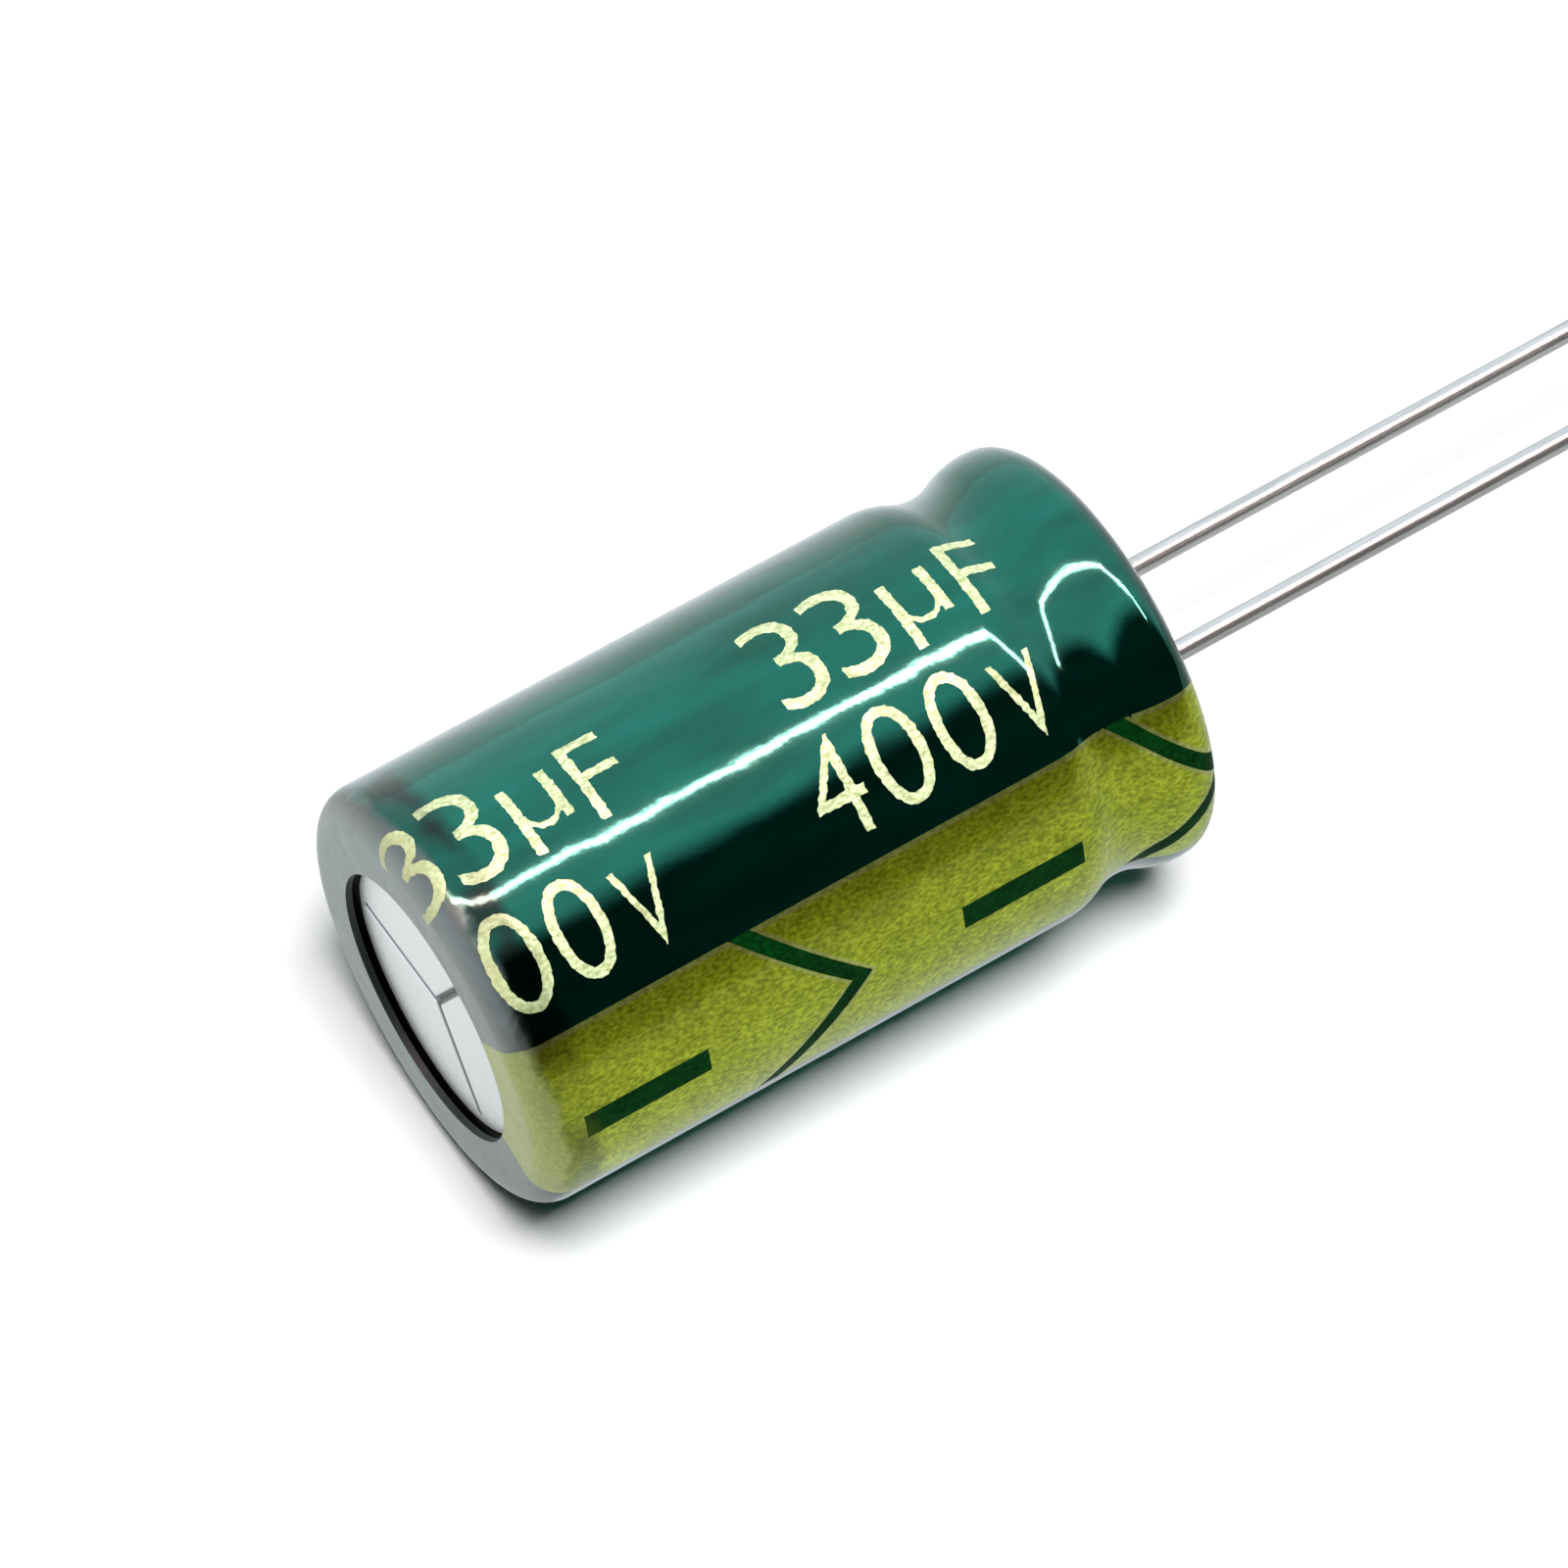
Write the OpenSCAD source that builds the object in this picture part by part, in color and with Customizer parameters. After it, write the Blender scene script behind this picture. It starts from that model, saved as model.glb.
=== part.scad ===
// Radial electrolytic capacitor: a beaded and curled aluminium can in a heat-shrunk sleeve,
// closed by a rubber bung that carries two leads, with a wound foil element inside.
// The origin is on the can's axis in the plane where the sleeve's lower lip meets a board.
// +Z runs up to the vented crown, the leads point down, the cathode lead is at -Y.

/* [Can] */
// Outside diameter of the bare can
can_d = 10; // [9.6:0.2:16]
// Height of the bare can, from its curled mouth to its crown
can_h = 17.6; // [14:0.2:30]
// Thickness of the drawn wall
can_wall = 0.28; // [0.22:0.02:0.34]
// Outside radius of the shoulder round the crown
shoulder_r = 0.62; // [0.5:0.02:0.9]
// Outside radius of the mouth, curled over the bung
curl_r = 0.56; // [0.5:0.02:0.64]
// Height of the bead groove's middle above the curled mouth
bead_z = 2.2; // [2.2:0.05:2.6]
// Depth of the bead groove rolled into the can
bead_depth = 0.8; // [0.6:0.05:0.9]
// Half of the bead groove's width, measured along the can
bead_half = 1.6; // [1.45:0.05:1.65]

/* [Vent] */
// Width of the crown's flat ring, from the shoulder to the sunk panel's step
crown_ring = 0.93; // [0.6:0.01:1.2]
// Depth of the sunk panel below the crown
panel_depth = 0.15; // [0.08:0.01:0.2]
// Space between the end of a scored arm and the panel's step
score_end = 0.35; // [0.2:0.05:1]
// Width of the V-shaped score at the surface
score_w = 0.28; // [0.16:0.02:0.34]
// Depth of the score
score_depth = 0.12; // [0.06:0.01:0.16]
// Direction of the first arm, turned from -Y toward +X
score_turn = 25.5; // [0:0.5:120]

/* [Sleeve] */
// Thickness of the shrunk film
sleeve_wall = 0.18; // [0.12:0.02:0.24]
// Air between the film and the can
sleeve_fit = 0.02; // [0.01:0.01:0.05]
// How deep the film sinks where it bridges the bead groove
sleeve_dip = 0.36; // [0.2:0.02:0.44]
// How much sooner than the bead the film's dip ends, above and below
dip_ease = 0.04; // [0.02:0.01:0.08]
// How far the film's upper lip reaches inward past the shoulder's curve
top_lip = 1.03; // [0.4:0.01:1.3]
// How far the film's lower lip reaches inward past the curl's curve
foot_lip = 0.44; // [0.3:0.01:0.8]

/* [Polarity print] */
// Depth of the printed layer, let in flush with the film
ink = 0.04; // [0.02:0.01:0.08]
// Width of the stripe round the body, in degrees
stripe_deg = 56.5; // [40:0.5:80]
// Middle of the stripe, turned from the cathode lead toward +X
stripe_turn = -24.5; // [-40:0.5:40]
// Distance between one arrow and the next along the body
print_step = 9.85; // [8:0.05:12]
// Distance of the upper arrow's tip below the top of the sleeve
arrow_drop = 8.55; // [7:0.05:10]
// Width of the dark gap that draws an arrow, along the body
arrow_gap = 0.55; // [0.3:0.05:0.8]
// Distance of the upper minus bar's middle below the top of the sleeve
minus_drop = 2.7; // [2.5:0.05:4]
// Length of a minus bar
minus_len = 3.2; // [2:0.1:4]
// Width of a minus bar
minus_w = 0.7; // [0.4:0.05:1]

/* [Bung and leads] */
// Distance between the two leads
lead_pitch = 5; // [4.6:0.1:5.2]
// Diameter of the tinned lead wires
lead_d = 0.5; // [0.4:0.05:0.7]
// Length of the anode lead below the board plane
anode_len = 20; // [5:1:35]
// Length of the cathode lead below the board plane
cathode_len = 16; // [4:1:32]
// Chamfer on a lead's cut end
lead_chamfer = 0.06; // [0.02:0.01:0.1]
// Height of the bung's middle face above the curled mouth
bung_rise = 0.3; // [0.2:0.05:0.5]
// Height of the bung's inner face above the curled mouth
bung_top = 4.2; // [4:0.1:5]
// Clearance round the bung and in its holes
bung_fit = 0.02; // [0.01:0.01:0.04]
// Diameter of the round aluminium shanks in the bung
shank_d = 1.1; // [0.9:0.05:1.2]
// Height of the weld between lead and shank above the curled mouth
weld_z = 1; // [0.8:0.05:1.6]
// Diameter of the weld bead where it meets the shank
bead_d = 0.8; // [0.7:0.02:0.84]
// How far the weld bead starts below the bung's face
bead_out = 0.05; // [0.03:0.01:0.2]
// Thickness of the flattened tab that is stitched to its foil
tab_t = 0.2; // [0.14:0.02:0.26]
// Width of the flattened tab
tab_w = 1.6; // [1.2:0.1:1.8]
// Height of the neck between a shank and its flattened tab
neck_h = 0.6; // [0.4:0.05:0.8]

/* [Wound element] */
// Thickness of the etched anode foil
anode_t = 0.16; // [0.12:0.02:0.2]
// Thickness of the cathode foil
cathode_t = 0.12; // [0.08:0.02:0.16]
// Thickness of the separator paper
paper_t = 0.09; // [0.06:0.01:0.12]
// Space between neighbouring layers
layer_gap = 0.045; // [0.035:0.005:0.06]
// Half turns wound inside the tabs, an odd number
inner_halves = 3; // [1:2:3]
// How far the papers stand past the foils at each end
paper_past = 0.5; // [0.3:0.1:0.8]
// Space between the papers and the can's crown or the bung
end_gap = 0.15; // [0.1:0.05:0.3]
// Thickness of the tape that closes the winding
tape_t = 0.06; // [0.04:0.01:0.1]
// Air between the outermost paper and the tape
tape_fit = 0.02; // [0.01:0.01:0.04]
// Turn in degrees between the end of the anode foil and the start of the tape
tape_late = 6; // [4:1:20]

/* [Hidden] */
$fn = 64;

ARC_STEPS = 8;
CURL_TURN = 165;
// Parts of a groove's radii that go to its hollow; the rest goes to its two shoulders
HOLLOW = 0.5;
// Shift of the corners of the panel's 45-degree step, for each mm outside the wall's middle
STEP_MITRE = tan(45 / 2);
// Half width of a tab's neck at its foot, against the shank's radius
NECK_FOOT = 0.8;
// Radius of the cone that rounds the neck's top, against the tab's half width
NECK_FLARE = 1.2;
// How far a cut reaches past the surface it opens
OVERCUT = 0.25;

can_r = can_d / 2;
can_mid = can_r - can_wall / 2;
can_in = can_r - can_wall;
foot_z = sleeve_wall + sleeve_fit;
crown_z = foot_z + can_h;
body_h = crown_z + sleeve_fit + sleeve_wall;
groove_z = foot_z + bead_z;

sleeve_mid = can_r + sleeve_fit + sleeve_wall / 2;
sleeve_out = sleeve_mid + sleeve_wall / 2;
sleeve_half = bead_half - dip_ease;
foot_mid = curl_r + sleeve_fit + sleeve_wall / 2;
top_mid = shoulder_r + sleeve_fit + sleeve_wall / 2;
sleeve_foot_hole = sleeve_mid - foot_mid - foot_lip;
sleeve_top_hole = sleeve_mid - top_mid - top_lip;
panel_r = can_r - shoulder_r - crown_ring;
score_len = panel_r - score_end;

hook_r = curl_r - can_wall / 2;
shelf_z = foot_z + can_wall / 2 + hook_r + bung_fit;
bung_r = can_in - bung_fit;
bung_top_z = foot_z + bung_top;
hook_reach = can_mid - hook_r - curl_r;
weld_height = foot_z + weld_z;

tab_r = lead_pitch / 2;
half_step = (anode_t + cathode_t) / 2 + paper_t + 2 * layer_gap;
paper_off = anode_t / 2 + layer_gap + paper_t / 2;
tab_room = tab_t + 2 * layer_gap;
tab_anode_r = tab_r - tab_t / 2 - layer_gap - anode_t / 2;
anode_start = tab_anode_r - inner_halves * half_step;
wound_max = can_in - tape_t - paper_t - 3 * layer_gap;
wound_halves = floor((wound_max - anode_start - tab_room - 2 * half_step) / half_step);
wound_z0 = bung_top_z + neck_h + end_gap;
wound_z1 = crown_z - panel_depth - can_wall - end_gap;

// Points on a circle about c = [radius, height], from angle a0 to a1
function arc(c, r, a0, a1, n = ARC_STEPS) =
  [for (i = [0:n]) c + r * [cos(a0 + (a1 - a0) * i / n), sin(a0 + (a1 - a0) * i / n)]];

// A rolled groove in a wall whose middle is at radius mid: two shoulders and a hollow that
// meet smoothly, at a distance o outside the wall's middle
function groove(mid, z, depth, half, o) =
  let (
    radii = (half * half + depth * depth) / (2 * depth),
    turn = asin(half / radii),
    hollow = radii * HOLLOW,
    shoulder = radii - hollow
  )
  concat(
    arc([mid - shoulder, z - half], shoulder + o, 0, turn),
    arc([mid - depth + hollow, z], hollow - o, 180 + turn, 180 - turn),
    arc([mid - shoulder, z + half], shoulder + o, -turn, 0)
  );

// The can's wall from the hook of its curl to the axis, o outside the wall's middle
function can_line(o) = concat(
  arc([can_mid - hook_r, foot_z + can_wall / 2 + hook_r], hook_r + o, -CURL_TURN, 0, 2 * ARC_STEPS),
  groove(can_mid, groove_z, bead_depth, bead_half, o),
  arc([can_mid - shoulder_r + can_wall / 2, crown_z - shoulder_r],
      shoulder_r - can_wall / 2 + o, 0, 90),
  [[panel_r + panel_depth - o * STEP_MITRE, crown_z - can_wall / 2 + o],
   [panel_r - o * STEP_MITRE, crown_z - can_wall / 2 - panel_depth + o],
   [0, crown_z - can_wall / 2 - panel_depth + o]]
);

// The film from its lower lip to its upper lip, o outside its middle
function sleeve_line(o) = concat(
  [[sleeve_foot_hole, sleeve_wall / 2 - o]],
  arc([sleeve_mid - foot_mid, sleeve_wall / 2 + foot_mid], foot_mid + o, -90, 0),
  groove(sleeve_mid, groove_z, sleeve_dip, sleeve_half, o),
  arc([sleeve_mid - top_mid, body_h - sleeve_wall / 2 - top_mid], top_mid + o, 0, 90),
  [[sleeve_top_hole, body_h - sleeve_wall / 2 + o]]
);

function backwards(list) = [for (i = [len(list) - 1:-1:0]) list[i]];

// Closed section between two lines at o_in and o_out outside a wall's middle
function film_section(o_in, o_out) = concat(sleeve_line(o_out), backwards(sleeve_line(o_in)));

// Places a shape that is drawn toward +X so that it looks from the axis toward the direction
// turned by a degrees from -Y toward +X
module facing(a) {
  rotate([0, 0, a - 90]) children();
}

// V-shaped gap of the printed arrow, drawn flat with its tip at the origin and pointing down
module arrow_gap_shape() {
  polygon([
    [0, 0], [sleeve_out, sleeve_out], [sleeve_out, sleeve_out + arrow_gap],
    [0, arrow_gap], [-sleeve_out, sleeve_out + arrow_gap], [-sleeve_out, sleeve_out]
  ]);
}

// A flat shape with X round the body and Y up it, carried out through the film along +X
module through_film() {
  rotate([90, 0, 90]) linear_extrude(height = sleeve_out + 2 * OVERCUT) children();
}

// The dark marks that are left out of the printed stripe
module stripe_marks() {
  for (copy = [0, 1]) {
    translate([0, 0, body_h - arrow_drop - copy * print_step]) through_film() arrow_gap_shape();
    translate([0, 0, body_h - minus_drop - copy * print_step])
      through_film() square([minus_w, minus_len], center = true);
  }
}

// The stripe's layer of the film, from o_in to o_out outside the film's middle
module stripe_layer(o_in, o_out) {
  facing(stripe_turn)
    difference() {
      rotate([0, 0, -stripe_deg / 2])
        rotate_extrude(angle = stripe_deg) polygon(film_section(o_in, o_out));
      stripe_marks();
    }
}

module sleeve() {
  color("#0e5145")
    difference() {
      rotate_extrude() polygon(film_section(-sleeve_wall / 2, sleeve_wall / 2));
      stripe_layer(sleeve_wall / 2 - ink, sleeve_wall / 2 + OVERCUT);
    }
}

module polarity_stripe() {
  color("#a3ab3a") stripe_layer(sleeve_wall / 2 - ink, sleeve_wall / 2);
}

// One scored arm: a V-shaped cut from the axis outward along +X
module score_arm() {
  translate([0, 0, crown_z - panel_depth])
    rotate([90, 0, 90])
      linear_extrude(height = score_len)
        polygon([[-score_w, score_depth], [0, -score_depth], [score_w, score_depth]]);
}

module can() {
  color("#c9cbd0")
    difference() {
      rotate_extrude()
        polygon(concat(can_line(can_wall / 2), backwards(can_line(-can_wall / 2))));
      for (arm = [0:2]) facing(score_turn + arm * 120) score_arm();
    }
}

// The bung stands on the can's hook, is gripped by the bead and closes the mouth
module rubber_bung() {
  middle_r = hook_reach - can_wall;
  color("#2b2c2e")
    difference() {
      rotate_extrude()
        polygon(concat(
          [[0, foot_z + bung_rise], [middle_r, foot_z + bung_rise],
           [hook_reach, shelf_z], [bung_r, shelf_z]],
          groove(can_mid, groove_z, bead_depth, bead_half, -can_wall / 2 - bung_fit),
          [[bung_r, bung_top_z], [0, bung_top_z]]
        ));
      for (side = [-1, 1])
        translate([0, side * tab_r, 0]) {
          cylinder(h = bung_top_z + OVERCUT, r = bead_d / 2 + bung_fit);
          translate([0, 0, weld_height - bung_fit])
            cylinder(h = bung_top_z, r = shank_d / 2 + bung_fit);
        }
    }
}

// A tinned wire from its chamfered cut end up to the bead of the weld under its shank
module lead(length) {
  r = lead_d / 2;
  bead_low = foot_z + bung_rise - bead_out;
  translate([0, 0, -length])
    cylinder(h = lead_chamfer, r1 = r - lead_chamfer, r2 = r);
  translate([0, 0, lead_chamfer - length])
    cylinder(h = bead_low + length - lead_chamfer, r = r);
  translate([0, 0, bead_low])
    cylinder(h = weld_height - bead_low, r1 = r, r2 = bead_d / 2);
}

module anode_lead() {
  color("#d5d7da") translate([0, tab_r, 0]) lead(anode_len);
}

module cathode_lead() {
  color("#d5d7da") translate([0, -tab_r, 0]) lead(cathode_len);
}

// A shank in the bung, its pressed neck and the curved tab in the winding, drawn toward +X
module tab() {
  shank_r = shank_d / 2;
  foot = shank_r * NECK_FOOT;
  half_w = tab_w / 2;
  spread = 2 * asin(half_w / tab_r);
  translate([tab_r, 0, weld_height]) cylinder(h = bung_top_z - weld_height, r = shank_r);
  intersection() {
    translate([tab_r, half_w, bung_top_z])
      rotate([90, 0, 0])
        linear_extrude(height = tab_w)
          polygon([[-shank_r, 0], [shank_r, 0], [tab_t / 2, neck_h], [-tab_t / 2, neck_h]]);
    translate([tab_r - shank_r, 0, bung_top_z])
      rotate([90, 0, 90])
        linear_extrude(height = shank_d)
          polygon([[-foot, 0], [foot, 0], [half_w, neck_h], [-half_w, neck_h]]);
    translate([tab_r, 0, bung_top_z]) cylinder(h = neck_h, r1 = shank_r, r2 = half_w * NECK_FLARE);
  }
  translate([0, 0, bung_top_z + neck_h - tab_t])
    rotate([0, 0, -spread / 2])
      rotate_extrude(angle = spread)
        translate([tab_r - tab_t / 2, 0])
          square([tab_t, wound_z1 - paper_past - bung_top_z - neck_h]);
}

module anode_tab() {
  color("#b4b7bc") rotate([0, 0, 90]) tab();
}

module cathode_tab() {
  color("#b4b7bc") rotate([0, 0, -90]) tab();
}

// Radius at which a layer that starts at radius start crosses the Y axis after k half turns;
// every layer steps outward past the tabs to leave them room
function crossing(start, k) =
  let (r = start + k * half_step)
  r > tab_anode_r + layer_gap / 2 ? r + tab_room : r;

// A wound strip as half rings about two alternating centres, from half turn k0 to k1; its first
// ring may begin some degrees late
module strip(start, k0, k1, thick, z0, z1, late = 0) {
  for (k = [k0:k1 - 1]) {
    near = crossing(start, k);
    far = crossing(start, k + 1);
    mid = (near + far) / 2;
    side = k % 2 == 0 ? 1 : -1;
    cut = k == k0 ? late : 0;
    translate([0, side * (far - near) / 2, z0])
      mirror(side > 0 ? [0, 1, 0] : [1, 0, 0])
        rotate([0, 0, -90])
          rotate_extrude(angle = 180 - cut)
            translate([mid - thick / 2, 0]) square([thick, z1 - z0]);
  }
}

module anode_foil() {
  color("#9a9ea4")
    strip(anode_start, 0, wound_halves, anode_t, wound_z0 + paper_past, wound_z1 - paper_past);
}

module cathode_foil() {
  color("#c3c6ca")
    strip(anode_start + half_step, 0, wound_halves, cathode_t,
          wound_z0 + paper_past, wound_z1 - paper_past);
}

module inner_paper() {
  color("#d9c79c")
    strip(anode_start - paper_off, 0, wound_halves + 2, paper_t, wound_z0, wound_z1);
}

module outer_paper() {
  color("#d9c79c")
    strip(anode_start + paper_off, 0, wound_halves, paper_t, wound_z0, wound_z1);
}

module closing_tape() {
  color("#c98f3c")
    strip(anode_start - paper_off + (paper_t + tape_t) / 2 + tape_fit,
          wound_halves, wound_halves + 2, tape_t, wound_z0, wound_z1, tape_late);
}

sleeve();
polarity_stripe();
can();
rubber_bung();
anode_lead();
cathode_lead();
anode_tab();
cathode_tab();
anode_foil();
cathode_foil();
inner_paper();
outer_paper();
closing_tape();
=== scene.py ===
"""A radial electrolytic capacitor that lies on a white table, dressed round the frame of its CAD model.

Lengths are written in millimetres and MM turns them to metres. A direction round the body is an
azimuth in degrees: 0 is toward -Y, where the cathode lead is, and 90 is toward +X. The capacitor
stands upright in this frame, so the table it lies on is an upright plane beside it.
"""

import math

import bmesh
import bpy
from mathutils import Matrix, Quaternion, Vector, noise


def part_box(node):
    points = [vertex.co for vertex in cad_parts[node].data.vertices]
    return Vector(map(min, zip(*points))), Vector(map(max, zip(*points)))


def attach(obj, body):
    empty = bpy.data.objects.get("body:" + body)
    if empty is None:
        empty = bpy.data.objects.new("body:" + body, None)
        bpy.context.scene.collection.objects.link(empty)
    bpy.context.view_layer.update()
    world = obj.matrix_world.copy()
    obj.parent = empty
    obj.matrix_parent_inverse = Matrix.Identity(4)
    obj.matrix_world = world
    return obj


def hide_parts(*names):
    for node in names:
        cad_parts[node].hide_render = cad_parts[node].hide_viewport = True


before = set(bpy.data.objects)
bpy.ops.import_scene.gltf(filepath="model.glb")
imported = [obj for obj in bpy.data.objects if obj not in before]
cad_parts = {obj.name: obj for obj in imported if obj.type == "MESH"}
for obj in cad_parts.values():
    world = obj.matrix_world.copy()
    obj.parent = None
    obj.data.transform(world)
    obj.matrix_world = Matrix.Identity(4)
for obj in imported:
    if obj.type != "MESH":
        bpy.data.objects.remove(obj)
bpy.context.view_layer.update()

MM = 0.001

# The film's face stays this far inside the frame's sleeve, so the inks can stand proud of it
FILM_EASE = 0.006
BODY_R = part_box("sleeve")[1].x / MM - FILM_EASE
BODY_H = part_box("sleeve")[1].z / MM - FILM_EASE

# The film: its outer face, which the bead and the can's ends shape
FILM_WALL = 0.174
FOOT_CURVE = 0.76
FOOT_HOLE = 4.0
SHOULDER_CURVE = 0.82
VENT_HOLE = 3.35
DIP_Z = 2.4
DIP_DEPTH = 0.36
DIP_HALF = 1.56

# The printed stripe and its marks, seen from straight in front of it
STRIPE_AZIMUTH = -24.5
STRIPE_DEG = 56.5
STRIPE_STEPS = 30
REST_STEPS = 160
ARROW_TIPS = (9.45, -0.4)
ARROW_GAP = 0.55
BAR_MIDDLES = (15.3, 5.45)
BAR_WIDTH = 0.7
BAR_LENGTH = 3.2
OUTLINE = 0.09
INK_WALL = 0.04
INK_PROUD = 0.004

# The film's mesh: points closer than this are one, and its face is smooth below this angle
MERGE_WITHIN = 0.002
FILM_SMOOTH_DEG = 40
# Points this close to a cut, in the mesh's own units, count as lying on it
CUT_EXACT = 1e-7
# A cut along a mark's edge goes through the faces that lie about this near it
CUT_REACH = 0.4

# The two printed lines: each letter with the azimuths of its foot and head, and the distances
# along the film at which it starts and ends, for the copy nearer to the leads
PRINTED_LETTERS = (
    ("3", 45.5, 74.0, 8.75, 7.45),
    ("3", 45.5, 74.0, 7.2, 5.85),
    ("µ", 44.5, 65.5, 5.45, 4.2),
    ("F", 45.0, 69.0, 3.8, 2.75),
    ("4", 11.5, 37.5, 9.4, 8.15),
    ("0", 11.5, 37.5, 7.8, 6.45),
    ("0", 11.5, 37.5, 6.15, 4.85),
    ("V", 11.0, 32.5, 4.45, 3.3),
)
# The second copy starts this far along, and letters that would reach past the last place are left out
PRINT_STEP = 9.87
LAST_ALONG = 18.7
# A letter's strokes are thinned by this share of its size, and its mesh is cut into this grain.
# Its edge wanders in waves of each size by each reach, as gravure ink does
PRINT_THIN = -0.009
PRINT_GRAIN = 0.036
PRINT_WANDER = ((0.14, 0.035), (0.06, 0.015))
# Noise that isn't given a seed takes one from the clock, and the edges would differ each run
PRINT_SEED = 7
# Its curves are drawn in this many steps, and its face is smooth below this angle
LETTER_STEPS = 8
LETTER_SMOOTH_DEG = 60

# The can's sunk vent panel, and the painted shade in the step round it and in its score
PANEL_R = 3.45
PANEL_DEPTH = 0.15
PANEL_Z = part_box("can")[1].z / MM - PANEL_DEPTH
SHADE_STEP_R = (PANEL_R - 0.16, PANEL_R - 0.12)
SHADE_SCORE_Z = (PANEL_Z - 0.04, PANEL_Z - 0.008)

# Lead wires
LEAD_PITCH = 5.0
LEAD_D = 0.5
LEAD_CHAMFER = 0.06
LEAD_SIDES = 40
LEAD_SMOOTH_DEG = 35
BEAD_LOW = 0.45
BEAD_TOP = 1.2
BEAD_D = 0.8

# The film's unevenness, each as the width and the height of its waves
RIPPLE = (1.7, 0.025)
PEEL = (0.22, 0.0016)
PUCKER = (0.7, 0.05)

# Where the film's look changes up the body: the painted shade at its foot, the cloudy border of its
# gathered crown and of the band of painted shade just under it, with the depth of the cloud, and the lip
# round the vent
FOOT_SHADE_Z = (0.12, 0.55)
CROWN_Z = (16.6, 18.6)
CROWN_CLOUD = 0.7
LIP_Z = (BODY_H - 0.35, BODY_H - 0.05)

# The camera of the photograph, which looks at the axis with its up side turned toward the leads
CAMERA_AZIMUTH = 25.33
CAMERA_ELEVATION = 16.66
CAMERA_ROLL = -118.6
CAMERA_DISTANCE = 191.1
CAMERA_AIM = (0.5, 0.23, 8.21)
CAMERA_LENS = 195.3
CAMERA_SENSOR = 36.0
CAMERA_NEAREST = 10.0

# The table: the azimuth its face points toward, its size and its paint
TABLE_AZIMUTH = 53.0
TABLE_SIZE = 900.0
TABLE_PAINT = (0.86, 0.865, 0.88, 1.0)
# How bright it is in mirrors: its colour, its level before and beyond the object, how far from the
# object that change reaches, the heights between which it brightens toward the vent, and how many
# times as bright it gets there. The lower level before the object is a painted shadow in that glow
TABLE_COLOUR = (0.94, 1.0, 1.03, 1.0)
TABLE_MIRRORED = (0.42, 0.8)
TABLE_FADE = 12.0
TABLE_BRIGHTER_Z = (12.0, 20.0)
TABLE_BRIGHTER = 1.25

# The room in mirrors: bright toward this azimuth and elevation, and dark past a soft edge, whose two
# sides are cosines of the angle from there
ROOM_COLOUR = (0.88, 1.0, 1.12, 1.0)
ROOM_AZIMUTH = 143.0
ROOM_RISE = 10.0
ROOM_EDGE = (-0.5, -0.28)

# The lamps: the name of each, its two ends as azimuth and elevation, its width in millimetres, its
# watts, whether it is mirrored, and its colour. The strips draw the highlight down the body. The
# others light what is matt: the first makes the shadow, and the last shows the side away from the
# camera
LAMP_DISTANCE = 1000.0
PLAIN_WHITE = (1.0, 1.0, 1.0)
STRIP_COLOUR = (1.0, 0.62, 0.6)
FILL_COLOUR = (1.0, 1.0, 0.7)
LAMPS = (
    ("key_window", ((40.0, -14.0), (40.0, 14.0)), 420, 15.0, False, PLAIN_WHITE),
    ("overhead_soft", ((70.0, -24.0), (70.0, 24.0)), 900, 2.5, False, PLAIN_WHITE),
    ("strip_light", ((56.5, -21.0), (68.0, 32.0)), 58, 8.5, True, STRIP_COLOUR),
    ("strip_light_low", ((57.5, -17.0), (24.0, -46.0)), 58, 5.4, True, STRIP_COLOUR),
    ("front_fill", ((-58.0, -6.0), (-58.0, 22.0)), 500, 2.5, False, FILL_COLOUR),
    ("behind_table", ((233.0, -14.0), (233.0, 34.0)), 900, 3.8, False, PLAIN_WHITE),
)


def direction(azimuth, elevation=0.0):
    """Unit vector toward an azimuth and an elevation in degrees."""
    a = math.radians(azimuth)
    e = math.radians(elevation)
    return Vector((math.sin(a) * math.cos(e), -math.cos(a) * math.cos(e), math.sin(e)))


def start(name, add_primitive, **settings):
    """Adds a primitive while nothing else is selected, and names it."""
    bpy.ops.object.select_all(action="DESELECT")
    add_primitive(**settings)
    piece = bpy.context.object
    piece.name = name
    piece.data.name = name
    return piece


def make_active(piece):
    """Selects one piece alone."""
    bpy.ops.object.select_all(action="DESELECT")
    piece.select_set(True)
    bpy.context.view_layer.objects.active = piece


def select_faces(piece, wanted):
    """In edit mode, selects the faces whose middle is wanted, and says how many."""
    bpy.ops.mesh.select_mode(type="FACE")
    bpy.ops.mesh.select_all(action="DESELECT")
    mesh = bmesh.from_edit_mesh(piece.data)
    count = 0
    for face in mesh.faces:
        if wanted(face.calc_center_median()):
            face.select_set(True)
            count += 1
    bmesh.update_edit_mesh(piece.data)
    return count


def finish_with(piece, kind, **settings):
    """Adds a modifier with its settings and applies it."""
    modifier = piece.modifiers.new(kind.title(), kind)
    for name, value in settings.items():
        setattr(modifier, name, value)
    make_active(piece)
    bpy.ops.object.modifier_apply(modifier=modifier.name)


def draw_line(name, points):
    """Pulls a line of vertices out of one vertex, through points in millimetres."""
    piece = start(name, bpy.ops.mesh.primitive_plane_add, size=MM)
    bpy.ops.object.mode_set(mode="EDIT")
    bpy.ops.mesh.select_all(action="SELECT")
    bpy.ops.mesh.merge(type="CENTER")
    bpy.ops.transform.translate(value=Vector(points[0]) * MM)
    for here, there in zip(points, points[1:]):
        step = (Vector(there) - Vector(here)) * MM
        bpy.ops.mesh.extrude_vertices_move(TRANSFORM_OT_translate={"value": step})
    return piece


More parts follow.
